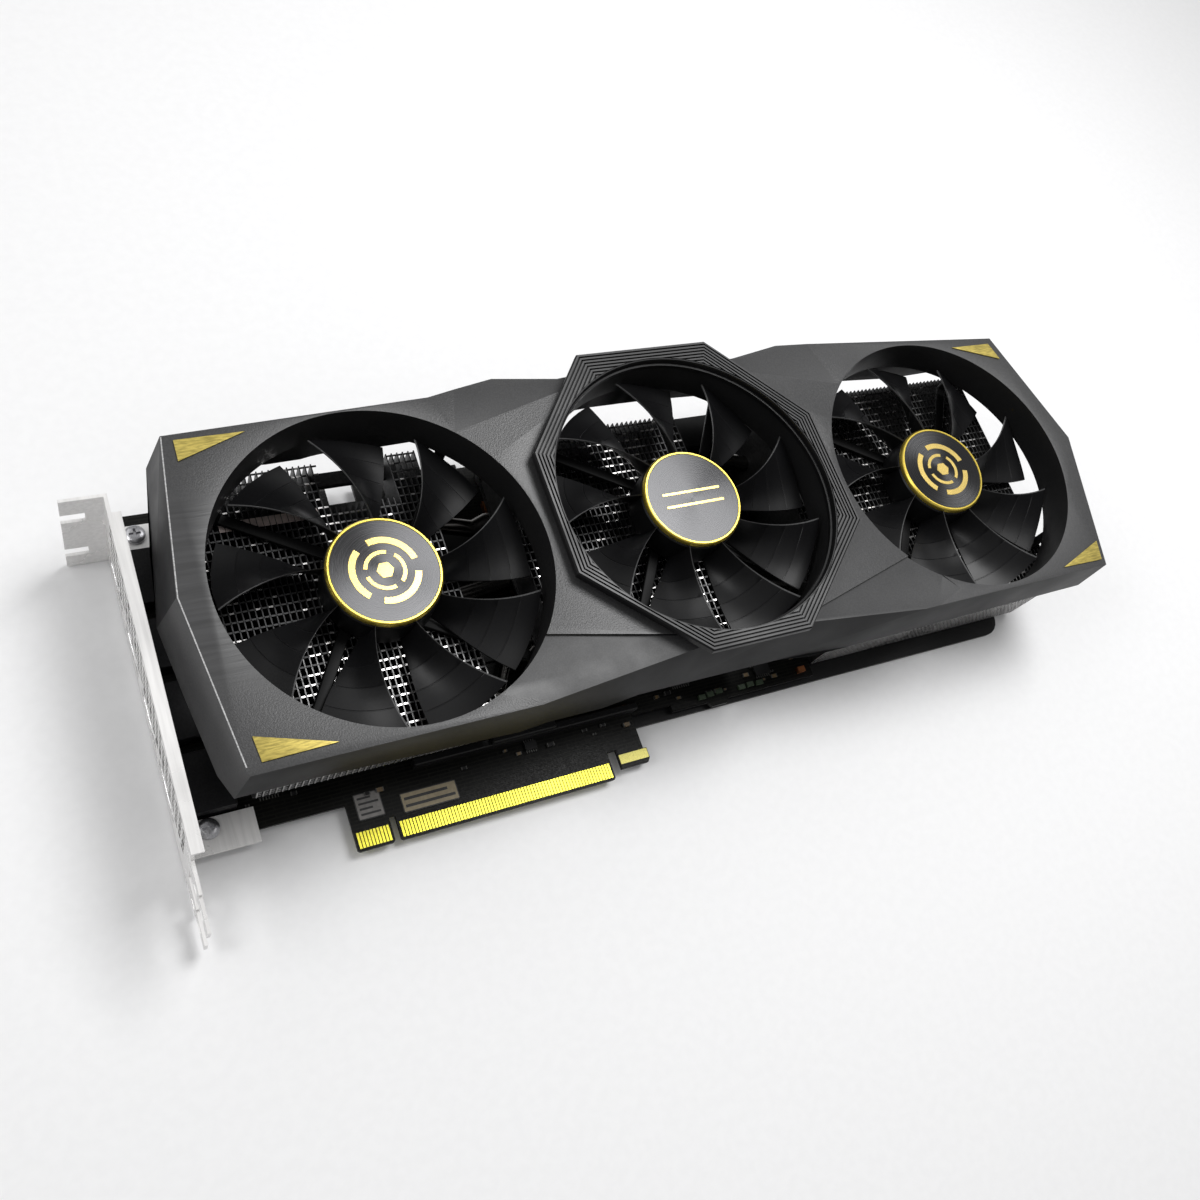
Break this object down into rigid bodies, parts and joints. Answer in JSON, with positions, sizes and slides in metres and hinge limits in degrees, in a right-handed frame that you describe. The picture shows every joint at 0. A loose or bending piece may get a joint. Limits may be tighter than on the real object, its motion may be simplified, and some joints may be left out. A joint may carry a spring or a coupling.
{
  "type": "graphics card",
  "caption": "Long graphics card with axial fans in a faceted shroud, finned heat-pipe cooler, backplate, slot bracket and gold edge connector.",
  "frame": {"origin": "middle of the card's lowest face, with the card lying on its backplate and the fans facing up", "axes": "+X along the card from the slot bracket to the tail, +Y from the edge connector to the card's top edge, +Z from the backplate to the fans"},
  "size_m": [0.3448, 0.1378, 0.0554],
  "materials": {
    "shroud_plastic": "satin, fine grain",
    "bezel_plastic": "satin, finely ridged",
    "badge_gold": "brushed",
    "board_black": "solder mask, satin",
    "contact_gold": "gold plated",
    "label_grey": "plain paper sticker",
    "label_tan": "plain paper sticker",
    "backplate_black": "fine textured paint",
    "port_metal": "stamped, nickel plated",
    "bracket_steel": "bright nickel plated",
    "screw_steel": "machined",
    "package_green": "laminate",
    "die_silicon": "mirror-smooth silicon",
    "chip_black": "moulded epoxy",
    "choke_grey": "pressed ferrite",
    "socket_black": "moulded",
    "plate_copper": "machined copper",
    "pipe_nickel": "nickel plated copper",
    "fin_aluminium": "stamped sheet",
    "fan_plastic": "satin moulded",
    "cap_metal": "spun, anodised dark grey with a gold rim"
  },
  "bodies": {
    "card": {"shroud": "shroud_plastic", "octagon_bezel": "bezel_plastic", "badge_left_top": "badge_gold", "badge_left_bottom": "badge_gold", "badge_right_top": "badge_gold", "badge_right_bottom": "badge_gold", "circuit_board": "board_black", "edge_contacts_front_short": "contact_gold", "edge_contacts_front_long": "contact_gold", "edge_contacts_back_short": "contact_gold", "edge_contacts_back_long": "contact_gold", "retention_hook_plating": "contact_gold", "board_label_square": "label_grey", "board_label_strip": "label_tan", "backplate": "backplate_black", "power_stage_plate": "backplate_black", "display_port_1": "port_metal", "display_port_2": "port_metal", "display_port_3": "port_metal", "hdmi_port": "port_metal", "io_bracket": "bracket_steel", "bracket_screw_1": "screw_steel", "bracket_screw_2": "screw_steel", "cooler_screw_1": "screw_steel", "cooler_screw_2": "screw_steel", "cooler_screw_3": "screw_steel", "cooler_screw_4": "screw_steel", "gpu_package": "package_green", "gpu_die": "die_silicon", "memory_chip_1": "chip_black", "memory_chip_2": "chip_black", "memory_chip_3": "chip_black", "memory_chip_4": "chip_black", "capacitor_1": "chip_black", "capacitor_2": "chip_black", "choke_1": "choke_grey", "choke_2": "choke_grey", "power_socket_1": "socket_black", "power_socket_2": "socket_black", "cold_plate": "plate_copper", "heat_pipe_1": "pipe_nickel", "heat_pipe_2": "pipe_nickel", "heat_pipe_3": "pipe_nickel", "heat_pipe_4": "pipe_nickel", "heat_pipe_5": "pipe_nickel", "fin_stack_left": "fin_aluminium", "fin_stack_middle": "fin_aluminium", "fin_stack_right": "fin_aluminium", "fan_frame_left": "fan_plastic", "fan_frame_middle": "fan_plastic", "fan_frame_right": "fan_plastic"},
    "fan_left": {"impeller_left": "fan_plastic", "fan_shaft_left": "screw_steel", "hub_cap_left": "cap_metal"},
    "fan_middle": {"impeller_middle": "fan_plastic", "fan_shaft_middle": "screw_steel", "hub_cap_middle": "cap_metal"},
    "fan_right": {"impeller_right": "fan_plastic", "fan_shaft_right": "screw_steel", "hub_cap_right": "cap_metal"}
  },
  "joints": [
    {"name": "fan_left_spin", "type": "hinge", "parent": "card", "child": "fan_left", "pos_m": [-0.09407, 0.01255, 0.0396], "axis": [0, 0, 1], "continuous": true},
    {"name": "fan_middle_spin", "type": "hinge", "parent": "card", "child": "fan_middle", "pos_m": [0.00743, 0.01665, 0.0438], "axis": [0, 0, 1], "continuous": true},
    {"name": "fan_right_spin", "type": "hinge", "parent": "card", "child": "fan_right", "pos_m": [0.11263, 0.01285, 0.0396], "axis": [0, 0, 1], "continuous": true}
  ]
}
